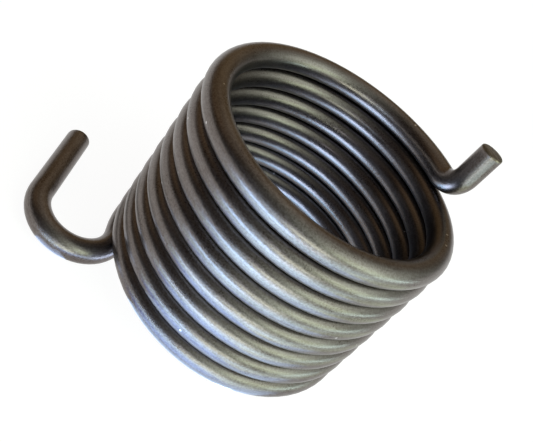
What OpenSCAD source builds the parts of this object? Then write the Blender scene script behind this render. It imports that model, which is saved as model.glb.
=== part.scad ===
// Helical torsion spring, wound left-handed from one length of round wire.
// The turns lie one on the next. The upper end bends up into a short leg that runs along
// the coil's axis. The lower end turns outward into a hook that lies level with the last turn.
// The axis of the coil is Z, and the lowest point of the wire is at Z = 0.

/* [Wire] */
// Diameter of the wire (mm)
wire_d = 3; // [1.6:0.1:3.6]
// Chamfer around the rim of each cut end (mm)
end_chamfer = 0.25; // [0.1:0.05:0.5]

/* [Coil] */
// Diameter across the outside of the coil (mm)
coil_outer_d = 33.5; // [26:0.5:60]
// Number of turns between the two end bends
coil_turns = 8.45; // [2.45:0.5:14.45]
// Air gap between one turn and the next (mm)
turn_gap = 0.03; // [0.02:0.01:1]
// Direction in which the coil's upper end stands, counted round Z from +X (degrees)
top_azimuth = 44; // [0:1:359]

/* [Top leg] */
// Radius of the bend below the leg, at the middle of the wire (mm)
top_bend_r = 2.65; // [2:0.05:5]
// Angle through which that bend turns the wire upward (degrees)
top_bend_angle = 90; // [60:1:100]
// Lean of the leg away from the axis (degrees)
top_leg_lean = 4; // [0:1:20]
// Length of the straight leg above the bend (mm)
top_leg_length = 4.1; // [2:0.1:30]

/* [Hook] */
// Radius of the hook's bend, at the middle of the wire (mm)
hook_bend_r = 5.1; // [3:0.1:10]
// Angle through which the hook turns the wire outward (degrees)
hook_bend_angle = 189; // [90:1:200]
// Rise of the hook's outer side, as a tilt of its bend (degrees)
hook_tilt = 4.4; // [0:0.2:10]
// Length of the straight end of the hook (mm)
hook_leg_length = 11.4; // [3:0.1:20]

/* [Hidden] */
$fn = 96;
wire_fn = 32;
wire_color = [0.31, 0.29, 0.27];

// Neighbouring stretches of wire overlap by joint_lap, and every second one is thinner
// by joint_step, so that each joint is one clean ring around the wire.
joint_lap = 0.1;
joint_step = 0.05;
thin_d = wire_d - joint_step;

coil_r = (coil_outer_d - wire_d) / 2;
pitch = wire_d + turn_gap;
lead_angle = atan(pitch / (2 * PI * coil_r));

// The helix is an odd number of equal arcs, each near a quarter turn, so that it both
// starts and ends with a stretch of full thickness.
arc_count = 2 * floor(2 * coil_turns) + 1;
arc_angle = 360 * coil_turns / arc_count;
arc_rise = pitch * coil_turns / arc_count;
arc_tilt = asin(arc_rise / (2 * coil_r * sin(arc_angle / 2)));

// The hook's bend first dips below the end of the coil and then rises.
hook_dip_rate = sin(lead_angle);
hook_rise_rate = cos(lead_angle) * sin(hook_tilt);
hook_dip = hook_bend_r * (norm([hook_dip_rate, hook_rise_rate]) - hook_rise_rate);
coil_bottom_z = wire_d / 2 + hook_dip;
coil_top_z = coil_bottom_z + pitch * coil_turns;
bottom_azimuth = top_azimuth + 360 * coil_turns;

// An arc of wire of centre-line radius r, from angle -lap to angle a + lap about Z.
module wire_arc(r, a, d) {
    lap = joint_lap * 180 / (PI * r);
    rotate([0, 0, -lap])
        rotate_extrude(angle = a + 2 * lap)
            translate([r, 0])
                circle(d = d, $fn = wire_fn);
}

// A bend that starts at the origin, heads along +X and turns towards +Y.
module bend(r, a, d) {
    translate([0, r, 0])
        rotate([0, 0, -90])
            wire_arc(r, a, d);
}

// Puts its children where such a bend ends, heading along their own +X.
module after_bend(r, a) {
    translate([r * sin(a), r * (1 - cos(a)), 0])
        rotate([0, 0, a])
            children();
}

// A straight cut end of wire that heads along +X.
module straight_end(length) {
    body_length = length - end_chamfer;
    rotate([0, 90, 0]) {
        translate([0, 0, -joint_lap])
            cylinder(d = wire_d, h = body_length + joint_lap);
        translate([0, 0, body_length])
            cylinder(d1 = wire_d, d2 = wire_d - 2 * end_chamfer, h = end_chamfer);
    }
}

// The close-wound turns, built upward from the hook. Going up, the wire runs clockwise.
module coil() {
    for (i = [0 : arc_count - 1])
        translate([0, 0, coil_bottom_z + (i + 0.5) * arc_rise])
            rotate([0, 0, bottom_azimuth - (i + 0.5) * arc_angle])
                rotate([-arc_tilt, 0, 0])
                    rotate([0, 0, -arc_angle / 2])
                        wire_arc(coil_r, arc_angle, i % 2 == 0 ? wire_d : thin_d);
}

// The upper end: a tight bend, then a short leg along the axis.
module top_leg() {
    translate([coil_r * cos(top_azimuth), coil_r * sin(top_azimuth), coil_top_z])
        rotate([0, 0, top_azimuth - 90])
            rotate([0, -lead_angle, 0])
                rotate([90 - top_leg_lean, 0, 0]) {
                    bend(top_bend_r, top_bend_angle, thin_d);
                    after_bend(top_bend_r, top_bend_angle)
                        straight_end(top_leg_length);
                }
}

// The lower end: a wide bend outward and back, then a straight end beside the coil.
module hook() {
    translate([coil_r * cos(bottom_azimuth), coil_r * sin(bottom_azimuth), coil_bottom_z])
        rotate([0, 0, bottom_azimuth + 90])
            rotate([0, lead_angle, 0])
                rotate([180 - hook_tilt, 0, 0]) {
                    bend(hook_bend_r, hook_bend_angle, thin_d);
                    after_bend(hook_bend_r, hook_bend_angle)
                        straight_end(hook_leg_length);
                }
}

module spring() {
    color(wire_color) {
        coil();
        top_leg();
        hook();
    }
}

spring();
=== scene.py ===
import math

import bmesh
import bpy
from mathutils import Matrix, Vector


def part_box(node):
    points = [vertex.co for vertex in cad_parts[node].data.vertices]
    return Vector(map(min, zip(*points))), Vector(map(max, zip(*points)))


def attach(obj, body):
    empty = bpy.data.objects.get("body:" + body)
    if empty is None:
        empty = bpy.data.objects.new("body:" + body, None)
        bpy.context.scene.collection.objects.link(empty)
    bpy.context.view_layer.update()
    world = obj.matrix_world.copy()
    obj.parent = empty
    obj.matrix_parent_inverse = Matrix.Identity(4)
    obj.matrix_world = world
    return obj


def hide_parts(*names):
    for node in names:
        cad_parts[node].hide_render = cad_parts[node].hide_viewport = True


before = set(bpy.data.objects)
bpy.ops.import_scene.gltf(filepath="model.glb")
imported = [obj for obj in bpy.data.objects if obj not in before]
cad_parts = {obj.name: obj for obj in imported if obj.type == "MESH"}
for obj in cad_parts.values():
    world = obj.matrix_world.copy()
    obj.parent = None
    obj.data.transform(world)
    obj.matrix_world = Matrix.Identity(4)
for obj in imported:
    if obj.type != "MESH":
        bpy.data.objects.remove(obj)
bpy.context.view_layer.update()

# The looks of one helical torsion spring: the bent wire, its steel, the sheet it stands on,
# the lights and the camera. Lengths are in metres, and angles in radians unless they say degrees.
MM = 0.001

# The wire. It is drawn 0.01 mm slimmer than the solid.
SOLID_WIRE_R = 1.5 * MM
WIRE_R = 1.495 * MM
WIRE_SIDES = 40
RIM_ROUNDING = 0.25 * MM
RIM_STEPS = 4

# The coil. Its centre line runs from the upper end down to the hook, clockwise seen from below.
COIL_R = 15.25 * MM
COIL_TURNS = 8.45
TURN_PITCH = 3.03 * MM
TOP_AZIMUTH = math.radians(44)
STEPS_PER_TURN = 72

# The leg at the top and the hook at the bottom.
TOP_BEND_R = 2.65 * MM
TOP_BEND_ANGLE = math.radians(90)
TOP_LEG_LEAN = math.radians(4)
TOP_LEG_LENGTH = 4.1 * MM
HOOK_BEND_R = 5.1 * MM
HOOK_BEND_ANGLE = math.radians(189)
HOOK_TILT = math.radians(4.4)
HOOK_LEG_LENGTH = 11.4 * MM
BEND_STEP = math.radians(6)
LEG_STEP = 0.8 * MM

# What follows from those: the coil's slope, how far the hook's bend dips, where the coil's ends
# are, and the length of wire in the coil and in one turn of it.
LEAD_ANGLE = math.atan(TURN_PITCH / (2 * math.pi * COIL_R))
DIP_RATE = math.sin(LEAD_ANGLE)
RISE_RATE = math.cos(LEAD_ANGLE) * math.sin(HOOK_TILT)
HOOK_DIP = HOOK_BEND_R * (math.hypot(DIP_RATE, RISE_RATE) - RISE_RATE)
COIL_BOTTOM_Z = SOLID_WIRE_R + HOOK_DIP
COIL_TOP_Z = COIL_BOTTOM_Z + TURN_PITCH * COIL_TURNS
BOTTOM_AZIMUTH = TOP_AZIMUTH + 2 * math.pi * COIL_TURNS
COIL_LENGTH = COIL_TURNS * math.hypot(2 * math.pi * COIL_R, TURN_PITCH)
TURN_LENGTH = COIL_LENGTH / COIL_TURNS

# The camera: where it aims, how far off and how high it stands, and how it is held.
AIM = Vector((0, 0, 15.086 * MM))
CAMERA_DISTANCE = 84.13 * MM
CAMERA_ELEVATION = 0.5965
CAMERA_PITCH = 0.0243
CAMERA_YAW = 0.0551
CAMERA_ROLL = 0.7174
CAMERA_LENS = 48.52
CAMERA_SENSOR = 36
CAMERA_SHIFT_Y = -0.0844
CAMERA_NEAR = 0.005
CAMERA_FAR = 20

# The sheet of white paper, turned up into a low wall all round. Its matt colour lights the
# spring. Seen directly or in the metal, it shows a paler wash and a glow that make it white.
SHEET_RADIUS = 1.5
SHEET_WALL = 0.25
SHEET_TURN_UP = 0.12
SHEET_TURN_STEPS = 8
SHEET_SIDES = 96
SHEET_MATT = (0.85, 0.85, 0.85, 1)
SHEET_SEEN = (0.15, 0.15, 0.15, 1)
SHEET_GLOW = 0.93

# The light boxes. One that stands is placed by its bearing and height as seen from the spring,
# and one that lies flat by its middle. A brightness of 1 is white.
BOX_DISTANCE = 0.3
STANDING_BOXES = {
    # name: bearing and height in degrees, width, length, roll in radians, brightness
    "right_tall_box": (-22.1, 23.5, 0.106, 0.241, 0.88, (1.8, 2.4, 1.7)),
    "right_low_box": (0.2, 3.0, 0.149, 0.033, -0.09, (5.3, 7.9, 7.9)),
    "front_box": (-65.1, 7.5, 0.193, 0.080, 0.0, (4.8, 5.6, 4.9)),
    "front_small_box": (-80.0, 22.0, 0.050, 0.050, 0.0, (3.4, 3.6, 4.3)),
    "left_box": (-95.7, 6.5, 0.067, 0.072, 0.23, (2.1, 3.2, 4.7)),
}
FLAT_BOXES = {
    # name: x, y, width, length, brightness
    "flat_front_box": (0.0136, -0.0345, 0.043, 0.045, (1.10, 1.80, 2.90)),
    "flat_near_left_box": (-0.0015, -0.0255, 0.026, 0.0115, (0.1, 0.5, 2.3)),
    "flat_near_right_box": (0.0310, -0.0255, 0.039, 0.0115, (1.5, 1.7, 0.7)),
    "flat_far_left_box": (-0.0145, -0.0658, 0.052, 0.023, (6.4, 10.8, 18.6)),
    "flat_strip_box": (-0.0068, -0.0645, 0.047, 0.0104, (11.0, 13.0, 16.0)),
    "flat_far_right_box": (0.0310, -0.0658, 0.039, 0.023, (4.9, 5.5, 6.4)),
    "flat_side_box": (0.0760, -0.0798, 0.200, 0.107, (1.4, 2.2, 2.45)),
    "flat_right_box": (0.0600, -0.0100, 0.050, 0.040, (0.5, 0.7, 0.4)),
    "flat_bore_box": (0.0023, -0.0073, 0.013, 0.013, (6.2, 8.4, 12.8)),
    "flat_far_bore_box": (0.0023, 0.0025, 0.013, 0.0065, (1.4, 3.6, 6.2)),
    "flat_hook_box": (-0.0175, -0.0140, 0.0045, 0.006, (1.0, 1.6, 2.8)),
}
FLAT_BOX_LIFT = 0.05 * MM

# The room beyond: how bright it is all over, and its paler patches.
ROOM_BRIGHTNESS = (0.020, 0.012, 0.010)
ROOM_PATCHES = {
    # name: direction, tightness, brightness
    "ceiling": ((0.756, -0.166, 0.633), 7.1, (2.5, 2.9, 2.65)),
    "far_ceiling": ((-0.019, 0.401, 0.916), 7.8, (0.43, 0.41, 0.37)),
    "left_wall": ((-0.77, 0.119, 0.627), 19.8, (0.30, 0.22, 0.14)),
    "back_wall": ((-0.30, 0.85, 0.42), 4.0, (0.25, 0.16, 0.05)),
    "front_wall": ((-0.225, -0.84, 0.50), 12.0, (0.14, 0.13, 0.14)),
}

# The finish of the wire: its drawn surface is the first material, its cut ends the second.
CUT_STEEL = 1

# The colours of the drawn surface, and the share of each mark in its tone.
STEEL_DARK = (0.085, 0.068, 0.059, 1)
STEEL_LIGHT = (0.205, 0.180, 0.168, 1)
NICK = (0.62, 0.60, 0.58, 1)
# Painted shade: a darker colour on the sides of the wire where one turn lies against the next, and
# how far from the wire's middle it starts.
GROOVE_PAINTED_SHADE = (0.070, 0.056, 0.047, 1)
GROOVE_SHADE_STARTS = 1.33 * MM
GRAIN_TONE = 0.50
STREAK_TONE = 0.20
PATCH_TONE = 0.30

# Its roughness, and how deep its grain and its streaks are.
STEEL_ROUGHNESS = 0.262
PATCH_ROUGHNESS = 0.05
GRAIN_ROUGHNESS = 0.06
GRAIN_DEPTH = 0.0000035
STREAK_DEPTH_SHARE = 0.15

# The cut ends.
SHEARED_DARK = (0.085, 0.066, 0.050, 1)
SHEARED_LIGHT = (0.210, 0.170, 0.130, 1)
SHEARED_GRAIN_TONE = 0.35
TORN_TONE = 0.65
SHEARED_ROUGHNESS = (0.58, 0.42)
SHEARED_DEPTH = 0.00002

# How fine the marks are, in marks per metre, and how far each kind is drawn out.
GRAINS = 5200.0
SHEARED_GRAINS = 4200.0
NICKS = 420.0
STREAKS = 5200
STREAK_DRAWN_OUT = 0.035
PATCHES = 520
PATCH_DRAWN_OUT = 0.3
TEARS = 4200
TEAR_DRAWN_OUT = 0.12

# The part of a noise's values that goes from dark to light, and the same for the grain.
NOISE_RANGE = (0.3, 0.7)
GRAIN_RANGE = (0.28, 0.72)

# A nick's soft rim, in cells of the pattern, and which cells have a nick.
NICK_RIM = (0.035, 0.075)
NICK_PICK = (0.60, 0.64)


# ---------------------------------------------------------------- shapes

def turned(angle, axis):
    """A turn about one of the axes through the origin."""
    return Matrix.Rotation(angle, 4, axis)


def end_frame(azimuth, height, heading, lead, roll):
    """The frame of a wire end of the coil.

    Its X runs on along the wire and its Y points into the next bend.
    """
    place = Matrix.Translation((COIL_R * math.cos(azimuth), COIL_R * math.sin(azimuth), height))
    return place @ turned(azimuth + heading, "Z") @ turned(lead, "Y") @ turned(roll, "X")


def ring_of_wire(bm, place, along):
    """The wire's cross-section at the start of a run, as one ring of edges."""
    across = place @ turned(math.pi / 2, "Y")
    made = bmesh.ops.create_circle(bm, cap_ends=False, radius=WIRE_R, segments=WIRE_SIDES)
    straight = bm.verts.layers.float_vector["straightened"]
    for v in made["verts"]:
        v[straight] = (v.co.x, v.co.y, along)
    bmesh.ops.transform(bm, matrix=across, verts=made["verts"])
    return list(dict.fromkeys(e for v in made["verts"] for e in v.link_edges))


def mark_rings(bm, first_new, along, step):
    """Gives each new ring its distance along the wire, as if the wire were pulled straight."""
    straight = bm.verts.layers.float_vector["straightened"]
    bm.verts.ensure_lookup_table()
    for i in range(first_new, len(bm.verts)):
        v = bm.verts[i]
        rings = (i - first_new) // WIRE_SIDES + 1
        v[straight] = (v[straight].x, v[straight].y, along + rings * step)


def run_round(bm, ring, centre, axis, angle, steps, along, step, rise=0.0):
    """Carries a ring round an axis and returns the ring at the far end."""
    first_new = len(bm.verts)
    verts = list(dict.fromkeys(v for e in ring for v in e.verts))
    made = bmesh.ops.spin(bm, geom=verts + ring, cent=centre, axis=axis, dvec=(0, 0, rise),
                          angle=angle, steps=steps, use_merge=False)
    mark_rings(bm, first_new, along, step)
    return [g for g in made["geom_last"] if isinstance(g, bmesh.types.BMEdge)]


def run_straight(bm, ring, direction, length, along, sense):
    """Carries a ring straight on in short steps and returns the ring at the far end."""
    steps = math.ceil(length / LEG_STEP)
    for i in range(steps):
        first_new = len(bm.verts)
        made = bmesh.ops.extrude_edge_only(bm, edges=ring)["geom"]
        verts = [g for g in made if isinstance(g, bmesh.types.BMVert)]
        bmesh.ops.translate(bm, verts=verts, vec=direction * (length / steps))
        mark_rings(bm, first_new, along + sense * i * length / steps, sense * length / steps)
        moved = set(verts)
        ring = [g for g in made if isinstance(g, bmesh.types.BMEdge) and moved.issuperset(g.verts)]
    return ring


def cut_end(bm, ring):
    """Closes the wire with a flat cut face, whose rim is rounded."""
    face = bmesh.ops.edgeloop_fill(bm, edges=ring)["faces"][0]
    face.material_index = CUT_STEEL
    bevel = bmesh.ops.bevel(bm, geom=ring, offset=RIM_ROUNDING, offset_type="OFFSET",
                            affect="EDGES", segments=RIM_STEPS, profile=0.5, material=-1)
    for face in bevel["faces"]:
        face.material_index = CUT_STEEL


def bend_and_leg(bm, ring, place, radius, angle, leg, along, sense):
    """A bend that starts at a wire end, then a straight leg and its cut face."""
    steps = round(angle / BEND_STEP)
    centre = place @ Vector((0, radius, 0))
    axis = place.to_3x3() @ Vector((0, 0, 1))
    step = sense * radius * angle / steps
    ring = run_round(bm, ring, centre, axis, angle, steps, along, step)
    along += sense * radius * angle
    direction = place.to_3x3() @ Vector((math.cos(angle), math.sin(angle), 0))
    ring = run_straight(bm, ring, direction, leg, along, sense)
    cut_end(bm, ring)


def finished_object(bm, name):
    """Shades a shape smooth and puts it in the scene."""
    for face in bm.faces:
        face.smooth = True
    mesh = bpy.data.meshes.new(name)
    bm.to_mesh(mesh)
    bm.free()
    made = bpy.data.objects.new(name, mesh)
    bpy.context.scene.collection.objects.link(made)
    return made


def make_wire():
    """The whole spring as one closed mesh, built outward from the coil's upper end."""
    bm = bmesh.new()
    bm.verts.layers.float_vector.new("straightened")
    top = end_frame(TOP_AZIMUTH, COIL_TOP_Z, -math.pi / 2, -LEAD_ANGLE, math.pi / 2 - TOP_LEG_LEAN)
    bottom = end_frame(BOTTOM_AZIMUTH, COIL_BOTTOM_Z, math.pi / 2, LEAD_ANGLE, math.pi - HOOK_TILT)
    start = ring_of_wire(bm, top, 0.0)

    steps = round(COIL_TURNS * STEPS_PER_TURN)
    lower = run_round(bm, start, (0, 0, 0), (0, 0, 1), 2 * math.pi * COIL_TURNS, steps,
                      0.0, COIL_LENGTH / steps, rise=-TURN_PITCH * COIL_TURNS / steps)
    bend_and_leg(bm, lower, bottom, HOOK_BEND_R, HOOK_BEND_ANGLE, HOOK_LEG_LENGTH, COIL_LENGTH, 1)
    bend_and_leg(bm, start, top, TOP_BEND_R, TOP_BEND_ANGLE, TOP_LEG_LENGTH, 0.0, -1)

    bmesh.ops.recalc_face_normals(bm, faces=bm.faces)
    return finished_object(bm, "wire")


# ---------------------------------------------------------------- materials

def link(tree, source, target):
    """Feeds a target socket from a source socket."""
    tree.links.new(source, target)


def feed(tree, value, socket):
    """Gives a socket a number or a colour, or feeds it from another socket."""
    if isinstance(value, (int, float, tuple)):
        socket.default_value = value
    else:
        link(tree, value, socket)


def new_group(name, inputs, outputs):
    """A node group with its sockets; inputs and outputs are lists of (name, kind, default)."""
    group = bpy.data.node_groups.new(name, "ShaderNodeTree")
    for sockets, way in ((inputs, "INPUT"), (outputs, "OUTPUT")):
        for label, kind, default in sockets:
            socket = group.interface.new_socket(label, in_out=way, socket_type=kind)
            if default is not None:
                socket.default_value = default
    return group, group.nodes.new("NodeGroupInput"), group.nodes.new("NodeGroupOutput")


def noise_node(tree, coordinate, scale, detail, roughness):
    """A 3-D noise whose scale is a number or a socket."""
    noise = tree.nodes.new("ShaderNodeTexNoise")
    noise.inputs["Detail"].default_value = detail
    noise.inputs["Roughness"].default_value = roughness
    link(tree, coordinate, noise.inputs["Vector"])
    feed(tree, scale, noise.inputs["Scale"])
    return noise.outputs["Fac"]


def stretch_node(tree, coordinate, x, y, z):
    """Scales a place along its axes, so that a pattern there is drawn out where it is under 1."""
    mapping = tree.nodes.new("ShaderNodeMapping")
    mapping.inputs["Scale"].default_value = (x, y, z)
    link(tree, coordinate, mapping.inputs["Vector"])
    return mapping.outputs["Vector"]


def range_node(tree, value, low, high, to_low=0.0, to_high=1.0):
    """A value carried smoothly from one range to another."""
    node = tree.nodes.new("ShaderNodeMapRange")
    node.interpolation_type = "SMOOTHSTEP"
    labels = ("From Min", "From Max", "To Min", "To Max")
    for label, number in zip(labels, (low, high, to_low, to_high)):
        node.inputs[label].default_value = number
    link(tree, value, node.inputs["Value"])
    return node.outputs["Result"]


def math_node(tree, operation, *values):
    """A sum, product or the like of numbers and sockets."""
    node = tree.nodes.new("ShaderNodeMath")
    node.operation = operation
    for socket, value in zip(node.inputs, values):
        feed(tree, value, socket)
    return node.outputs["Value"]


def mix_node(tree, factor, a, b):
    """Blends two colours; each is a colour or a socket."""
    node = tree.nodes.new("ShaderNodeMix")
    node.data_type = "RGBA"
    link(tree, factor, node.inputs["Factor"])
    for label, value in (("A", a), ("B", b)):
        sockets = [s for s in node.inputs if s.name == label and s.type == "RGBA"]
        feed(tree, value, sockets[0])
    return [s for s in node.outputs if s.type == "RGBA"][0]


def fine_grain_group():
    """The fine matt speckle of bare steel: a light and dark grain, and rare bright nicks."""
    group, ins, outs = new_group(
        "fine_grain",
        [("Place", "NodeSocketVector", None), ("Grains per metre", "NodeSocketFloat", GRAINS),
         ("Nicks per metre", "NodeSocketFloat", NICKS)],
        [("Grain", "NodeSocketFloat", None), ("Nick", "NodeSocketFloat", None)])
    grain = noise_node(group, ins.outputs["Place"], ins.outputs["Grains per metre"],
                       detail=2.0, roughness=0.6)
    link(group, range_node(group, grain, *GRAIN_RANGE), outs.inputs["Grain"])
    cells = group.nodes.new("ShaderNodeTexVoronoi")
    link(group, ins.outputs["Place"], cells.inputs["Vector"])
    link(group, ins.outputs["Nicks per metre"], cells.inputs["Scale"])
    spot = range_node(group, cells.outputs["Distance"], *NICK_RIM, 1.0, 0.0)
    pick = group.nodes.new("ShaderNodeSeparateColor")
    link(group, cells.outputs["Color"], pick.inputs["Color"])
    rare = range_node(group, pick.outputs["Red"], *NICK_PICK)
    link(group, math_node(group, "MULTIPLY", spot, rare), outs.inputs["Nick"])
    return group


def drawing_marks_group():
    """Faint streaks that the drawing die leaves along the wire, and slow patches of darker oil."""
    group, ins, outs = new_group(
        "drawing_marks",
        [("Place", "NodeSocketVector", None)],
        [("Streak", "NodeSocketFloat", None), ("Patch", "NodeSocketFloat", None)])
    along = stretch_node(group, ins.outputs["Place"], 1, 1, STREAK_DRAWN_OUT)
    streak = noise_node(group, along, STREAKS, detail=3.0, roughness=0.65)
    link(group, range_node(group, streak, *NOISE_RANGE), outs.inputs["Streak"])
    slow = stretch_node(group, ins.outputs["Place"], 1, 1, PATCH_DRAWN_OUT)
    patch = noise_node(group, slow, PATCHES, detail=3.0, roughness=0.55)
    link(group, range_node(group, patch, *NOISE_RANGE), outs.inputs["Patch"])
    return group


def place_group(tree, group, coordinate):
    """Puts a node group in a material and returns its node."""
    node = tree.nodes.new("ShaderNodeGroup")
    node.node_tree = group
    link(tree, coordinate, node.inputs["Place"])
    return node


def straightened_place(tree):
    """Where a point would be if the wire were pulled straight, so that marks follow its bends."""
    node = tree.nodes.new("ShaderNodeAttribute")
    node.attribute_name = "straightened"
    return node.outputs["Vector"]


def new_metal(name):
    """A bare metal material, its node tree and its shader."""
    mat = bpy.data.materials.new(name)
    mat.use_nodes = True
    bsdf = mat.node_tree.nodes["Principled BSDF"]
    bsdf.inputs["Metallic"].default_value = 1
    return mat, mat.node_tree, bsdf


def bump_node(tree, height, depth, bsdf):
    """Roughens a surface by a height, of which 1 stands for the depth."""
    bump = tree.nodes.new("ShaderNodeBump")
    bump.inputs["Strength"].default_value = 1
    bump.inputs["Distance"].default_value = depth
    link(tree, height, bump.inputs["Height"])
    link(tree, bump.outputs["Normal"], bsdf.inputs["Normal"])


def drawn_spring_steel(grain_group, marks_group):
    """Oil-dark drawn spring wire, bare and satin."""
    mat, tree, bsdf = new_metal("drawn_spring_steel")
    place = straightened_place(tree)
    grain = place_group(tree, grain_group, place).outputs
    marks = place_group(tree, marks_group, place).outputs

    tone = math_node(tree, "ADD", math_node(tree, "MULTIPLY", grain["Grain"], GRAIN_TONE),
                     math_node(tree, "MULTIPLY", marks["Streak"], STREAK_TONE))
    tone = math_node(tree, "ADD", tone, math_node(tree, "MULTIPLY", marks["Patch"], PATCH_TONE))
    steel = mix_node(tree, tone, STEEL_DARK, STEEL_LIGHT)
    # Painted shade darkens the sides of the wire where one turn meets the next.
    steel = mix_node(tree, painted_groove_shade(tree, place), steel, GROOVE_PAINTED_SHADE)
    link(tree, mix_node(tree, grain["Nick"], steel, NICK), bsdf.inputs["Base Color"])

    rough = math_node(tree, "MULTIPLY_ADD", marks["Patch"], PATCH_ROUGHNESS, STEEL_ROUGHNESS)
    rough = math_node(tree, "MULTIPLY_ADD", grain["Grain"], GRAIN_ROUGHNESS, rough)
    link(tree, rough, bsdf.inputs["Roughness"])

    height = math_node(tree, "MULTIPLY_ADD", marks["Streak"], STREAK_DEPTH_SHARE, grain["Grain"])
    bump_node(tree, height, GRAIN_DEPTH, bsdf)
    return mat


def shaded_side(tree, side, along, start, end):
    """1 where a side of the wire lies against the next turn and gets painted shade, from start to
    end along the wire.
    """
    touching = range_node(tree, side, GROOVE_SHADE_STARTS, WIRE_R)
    begun = range_node(tree, along, start, start + 2 * WIRE_R)
    ended = range_node(tree, along, end - 2 * WIRE_R, end, 1.0, 0.0)
    return math_node(tree, "MULTIPLY", touching, math_node(tree, "MULTIPLY", begun, ended))


def painted_groove_shade(tree, place):
    """How much painted shade lies on the wire: it darkens the sides where one turn of the coil
    meets the next.
    """
    parts = tree.nodes.new("ShaderNodeSeparateXYZ")
    link(tree, place, parts.inputs["Vector"])
    up, along = parts.outputs["Y"], parts.outputs["Z"]
    down = math_node(tree, "MULTIPLY", up, -1.0)
    above = shaded_side(tree, up, along, TURN_LENGTH, COIL_LENGTH)
    below = shaded_side(tree, down, along, 0.0, COIL_LENGTH - TURN_LENGTH)
    return math_node(tree, "MAXIMUM", above, below)


def sheared_steel(grain_group):
    """The cut face of the wire: duller and browner, torn in lines by the cutter."""
    mat, tree, bsdf = new_metal("sheared_steel")
    place = straightened_place(tree)
    grain = place_group(tree, grain_group, place)
    grain.inputs["Grains per metre"].default_value = SHEARED_GRAINS
    across = stretch_node(tree, place, 1, TEAR_DRAWN_OUT, 1)
    torn = noise_node(tree, across, TEARS, detail=3.0, roughness=0.6)
    torn = range_node(tree, torn, *NOISE_RANGE)
    tone = math_node(tree, "MULTIPLY", grain.outputs["Grain"], SHEARED_GRAIN_TONE)
    tone = math_node(tree, "ADD", tone, math_node(tree, "MULTIPLY", torn, TORN_TONE))
    link(tree, mix_node(tree, tone, SHEARED_DARK, SHEARED_LIGHT), bsdf.inputs["Base Color"])
    rough = range_node(tree, tone, 0.0, 1.0, *SHEARED_ROUGHNESS)
    link(tree, rough, bsdf.inputs["Roughness"])
    bump_node(tree, tone, SHEARED_DEPTH, bsdf)
    return mat


def white_sheet():
    """White paper. Seen directly or in the metal it is white, and it keeps a soft shadow."""
    mat = bpy.data.materials.new("white_sheet")
    mat.use_nodes = True
    tree = mat.node_tree
    tree.nodes.remove(tree.nodes["Principled BSDF"])
    kinds = tree.nodes.new("ShaderNodeLightPath").outputs
    seen = math_node(tree, "MAXIMUM", kinds["Is Camera Ray"], kinds["Is Glossy Ray"])
    seen = math_node(tree, "MAXIMUM", seen, kinds["Is Transmission Ray"])
    matt = tree.nodes.new("ShaderNodeBsdfDiffuse")
    matt.inputs["Color"].default_value = SHEET_MATT
    pale = tree.nodes.new("ShaderNodeBsdfDiffuse")
    pale.inputs["Color"].default_value = SHEET_SEEN
    glow = tree.nodes.new("ShaderNodeEmission")
    glow.inputs["Strength"].default_value = SHEET_GLOW
    both = tree.nodes.new("ShaderNodeAddShader")
    link(tree, pale.outputs["BSDF"], both.inputs[0])
    link(tree, glow.outputs["Emission"], both.inputs[1])
    pick = tree.nodes.new("ShaderNodeMixShader")
    link(tree, seen, pick.inputs["Fac"])
    link(tree, matt.outputs["BSDF"], pick.inputs[1])
    link(tree, both.outputs["Shader"], pick.inputs[2])
    link(tree, pick.outputs["Shader"], tree.nodes["Material Output"].inputs["Surface"])
    return mat


# ---------------------------------------------------------------- studio

def make_sheet(height):
    """The floor and the low wall round it, as one sheet of paper spun about the object's axis."""
    bm = bmesh.new()
    rim = SHEET_RADIUS + SHEET_TURN_UP
    profile = [bm.verts.new(p) for p in ((0, 0, height), (SHEET_RADIUS, 0, height),
                                         (rim, 0, height), (rim, 0, height + SHEET_WALL))]
    for pair in zip(profile, profile[1:]):
        bm.edges.new(pair)
    bmesh.ops.bevel(bm, geom=[profile[2]], offset=SHEET_TURN_UP, offset_type="OFFSET",
                    affect="VERTICES", segments=SHEET_TURN_STEPS, profile=0.5, material=-1)
    bmesh.ops.spin(bm, geom=list(bm.verts) + list(bm.edges), cent=(0, 0, 0), axis=(0, 0, 1),
                   angle=2 * math.pi, steps=SHEET_SIDES, use_merge=True)
    bmesh.ops.remove_doubles(bm, verts=bm.verts, dist=0.1 * MM)
    sheet = finished_object(bm, "sheet")
    sheet.data.materials.append(white_sheet())


def light_box(name, place, width, length, brightness):
    """A soft rectangular light whose face shines at the given brightness, where 1 is white."""
    data = bpy.data.lights.new(name, "AREA")
    data.shape = "RECTANGLE"
    data.size = width
    data.size_y = length
    strongest = max(brightness)
    data.energy = strongest * math.pi * width * length
    data.color = [b / strongest for b in brightness]
    box = bpy.data.objects.new(name, data)
    box.matrix_world = place
    box.visible_camera = False
    bpy.context.scene.collection.objects.link(box)


def set_out_lights():
    """The standing boxes all face the spring, the flat ones face up."""
    facing = turned(math.pi / 2, "Z") @ turned(math.pi / 2, "X")
    for name, (bearing, height, width, length, roll, brightness) in STANDING_BOXES.items():
        out = turned(math.radians(bearing), "Z") @ turned(-math.radians(height), "Y")
        stand = Matrix.Translation(AIM + out @ Vector((BOX_DISTANCE, 0, 0)))
        place = stand @ out @ facing @ turned(roll, "Z")
        light_box(name, place, width, length, brightness)
    for name, (x, y, width, length, brightness) in FLAT_BOXES.items():
        place = Matrix.Translation((x, y, FLAT_BOX_LIFT)) @ turned(math.pi, "X")
        light_box(name, place, width, length, brightness)


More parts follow.
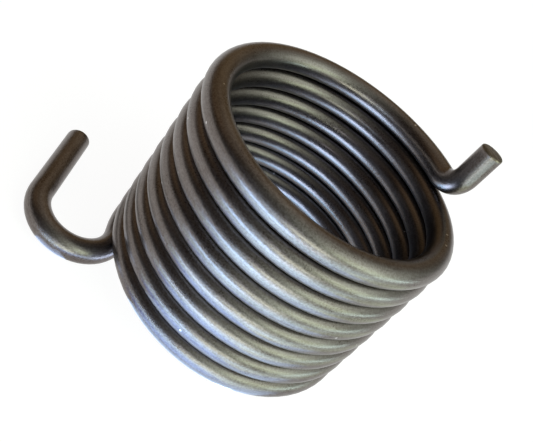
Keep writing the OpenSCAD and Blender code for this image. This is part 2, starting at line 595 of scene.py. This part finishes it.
def make_camera():
    """The camera looks down at the spring from the front, held at a slant."""
    data = bpy.data.cameras.new("camera")
    data.lens = CAMERA_LENS
    data.sensor_width = CAMERA_SENSOR
    data.shift_y = CAMERA_SHIFT_Y
    data.clip_start = CAMERA_NEAR
    data.clip_end = CAMERA_FAR
    camera = bpy.data.objects.new("camera", data)
    back = Vector((0, -math.cos(CAMERA_ELEVATION), math.sin(CAMERA_ELEVATION)))
    stand = Matrix.Translation(AIM + back * CAMERA_DISTANCE)
    level = stand @ turned(math.pi / 2 - CAMERA_ELEVATION, "X")
    held = turned(CAMERA_PITCH, "X") @ turned(CAMERA_YAW, "Y") @ turned(CAMERA_ROLL, "Z")
    camera.matrix_world = level @ held
    bpy.context.scene.collection.objects.link(camera)
    bpy.context.scene.camera = camera


def lobe_node(tree, direction, towards, tightness):
    """1 in one direction of the room, falling softly to 0 away from it."""
    dot = tree.nodes.new("ShaderNodeVectorMath")
    dot.operation = "DOT_PRODUCT"
    link(tree, direction, dot.inputs[0])
    dot.inputs[1].default_value = Vector(towards).normalized()
    short = math_node(tree, "SUBTRACT", dot.outputs["Value"], 1.0)
    return math_node(tree, "EXPONENT", math_node(tree, "MULTIPLY", short, tightness))


def make_room():
    """A dim warm room with soft paler patches of ceiling and wall."""
    world = bpy.data.worlds.new("room")
    bpy.context.scene.world = world
    world.use_nodes = True
    tree = world.node_tree
    direction = tree.nodes.new("ShaderNodeTexCoord").outputs["Generated"]
    total = ROOM_BRIGHTNESS
    for towards, tightness, brightness in ROOM_PATCHES.values():
        shape = lobe_node(tree, direction, towards, tightness)
        patch = mix_node(tree, shape, (0.0, 0.0, 0.0, 1), brightness + (1,))
        both = tree.nodes.new("ShaderNodeVectorMath")
        both.operation = "ADD"
        feed(tree, patch, both.inputs[0])
        feed(tree, total, both.inputs[1])
        total = both.outputs["Vector"]
    link(tree, total, tree.nodes["Background"].inputs["Color"])


wire = make_wire()
fine_grain = fine_grain_group()
wire.data.materials.append(drawn_spring_steel(fine_grain, drawing_marks_group()))
wire.data.materials.append(sheared_steel(fine_grain))
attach(wire, "root")
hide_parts("spring")

make_sheet(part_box("spring")[0].z)
make_camera()
make_room()
set_out_lights()

bpy.context.scene.view_settings.view_transform = "Standard"
